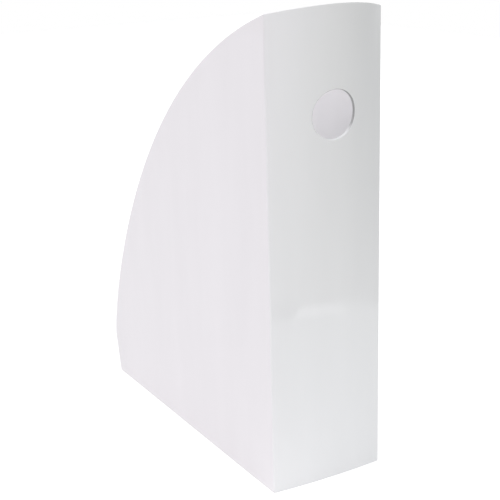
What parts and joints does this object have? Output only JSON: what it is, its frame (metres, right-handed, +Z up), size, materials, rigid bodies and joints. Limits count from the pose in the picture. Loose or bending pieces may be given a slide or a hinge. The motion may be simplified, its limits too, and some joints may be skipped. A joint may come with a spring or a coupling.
{
  "type": "magazine file holder",
  "caption": "Slim upright open box for magazines: bowed spine with a round finger hole, flat sides with a curved cutaway, and a low leaning lip at the open end.",
  "frame": {"origin": "centre of the footprint's bounding box, on the surface that it stands on", "axes": "+Z up; +Y towards the open end with the low lip, so the spine faces -Y; X across the two sides"},
  "size_m": [0.082, 0.2638, 0.3066],
  "materials": {
    "gloss_white": "smooth glossy white, injection moulded"
  },
  "bodies": {
    "root": {"spine_panel": "gloss_white", "left_side_panel": "gloss_white", "right_side_panel": "gloss_white", "base_panel": "gloss_white", "front_lip": "gloss_white"}
  },
  "joints": []
}
